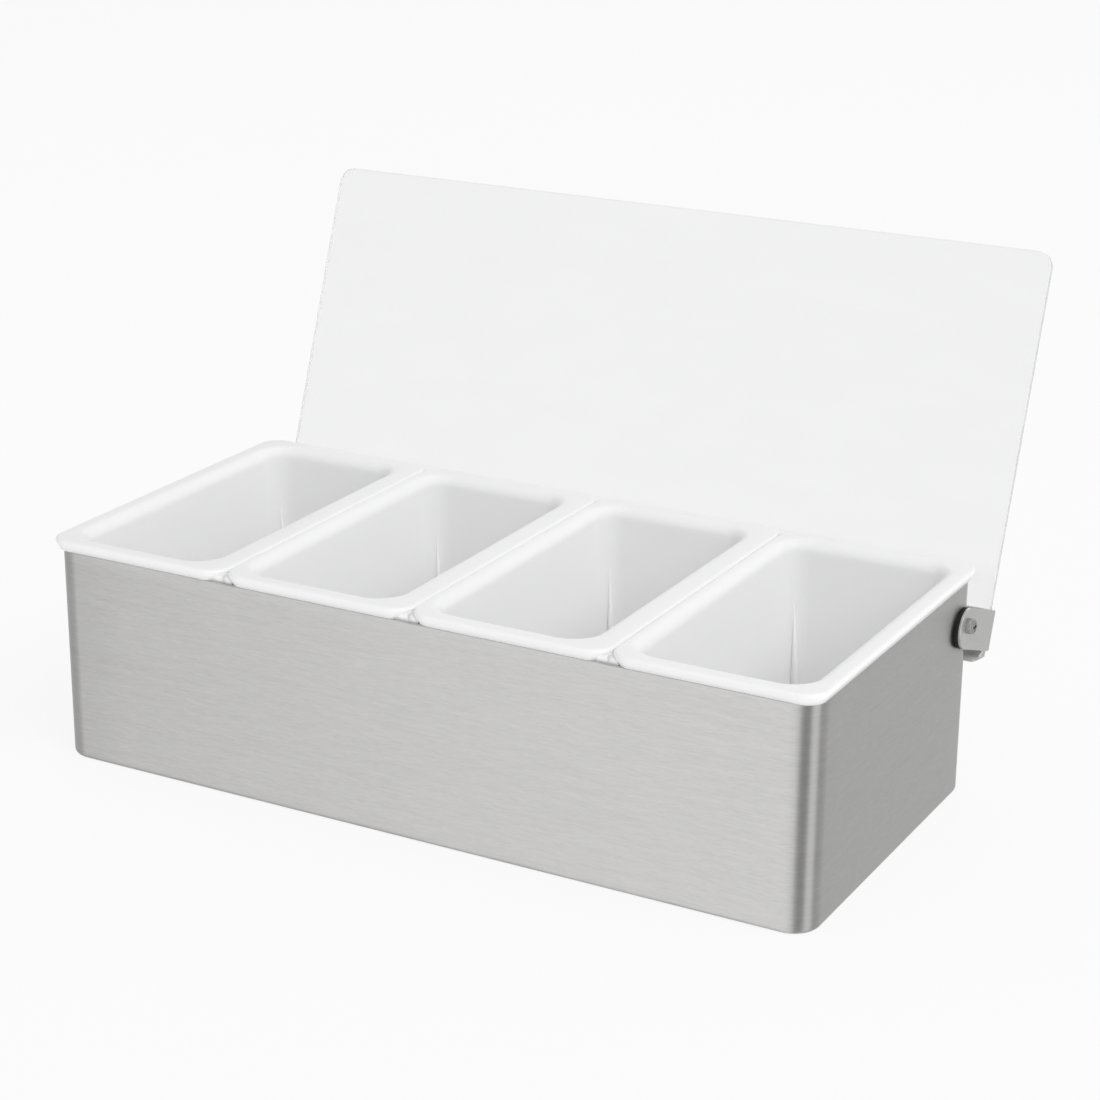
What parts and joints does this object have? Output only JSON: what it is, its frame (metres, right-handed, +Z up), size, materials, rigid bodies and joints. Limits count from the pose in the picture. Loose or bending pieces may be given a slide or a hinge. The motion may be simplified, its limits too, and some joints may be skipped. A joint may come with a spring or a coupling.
{
  "type": "condiment caddy",
  "caption": "Brushed steel box holding white lift-out pots side by side under one clear lid that swings up on side pivots at the back.",
  "frame": {"origin": "centre of the box's underside", "axes": "+X to the right along the front, +Y to the back where the lid is hinged, +Z up"},
  "size_m": [0.3104, 0.2015, 0.186],
  "materials": {
    "box_steel": "brushed along the box, satin",
    "hinge_steel": "smooth satin",
    "pot_plastic": "soft gloss, slightly translucent",
    "clear_acrylic": "clear, polished",
    "black_plastic": "matt",
    "bonding_tape": "matt foam",
    "fastener_steel": "plain, lightly polished"
  },
  "bodies": {
    "box": {"body_shell": "box_steel", "pivot_screw_left": "fastener_steel", "pivot_screw_right": "fastener_steel", "inner_washer_left": "fastener_steel", "inner_washer_right": "fastener_steel", "pivot_nut_left": "fastener_steel", "pivot_nut_right": "fastener_steel"},
    "lid": {"lid_panel": "clear_acrylic", "hinge_bar": "hinge_steel", "bonding_tape": "bonding_tape", "spacer_left": "black_plastic", "spacer_right": "black_plastic"},
    "pot_1": {"pot_1": "pot_plastic"},
    "pot_2": {"pot_2": "pot_plastic"},
    "pot_3": {"pot_3": "pot_plastic"},
    "pot_4": {"pot_4": "pot_plastic"}
  },
  "joints": [
    {"name": "lid_hinge", "type": "hinge", "parent": "box", "child": "lid", "pos_m": [0, 0.0572, 0.0663], "axis": [-1, 0, 0], "range_deg": [-112.7, 0]},
    {"name": "pot_1_lift", "type": "slide", "parent": "box", "child": "pot_1", "axis": [0, 0, 1], "range_m": [0, 0.09]},
    {"name": "pot_2_lift", "type": "slide", "parent": "box", "child": "pot_2", "axis": [0, 0, 1], "range_m": [0, 0.09]},
    {"name": "pot_3_lift", "type": "slide", "parent": "box", "child": "pot_3", "axis": [0, 0, 1], "range_m": [0, 0.09]},
    {"name": "pot_4_lift", "type": "slide", "parent": "box", "child": "pot_4", "axis": [0, 0, 1], "range_m": [0, 0.09]}
  ]
}
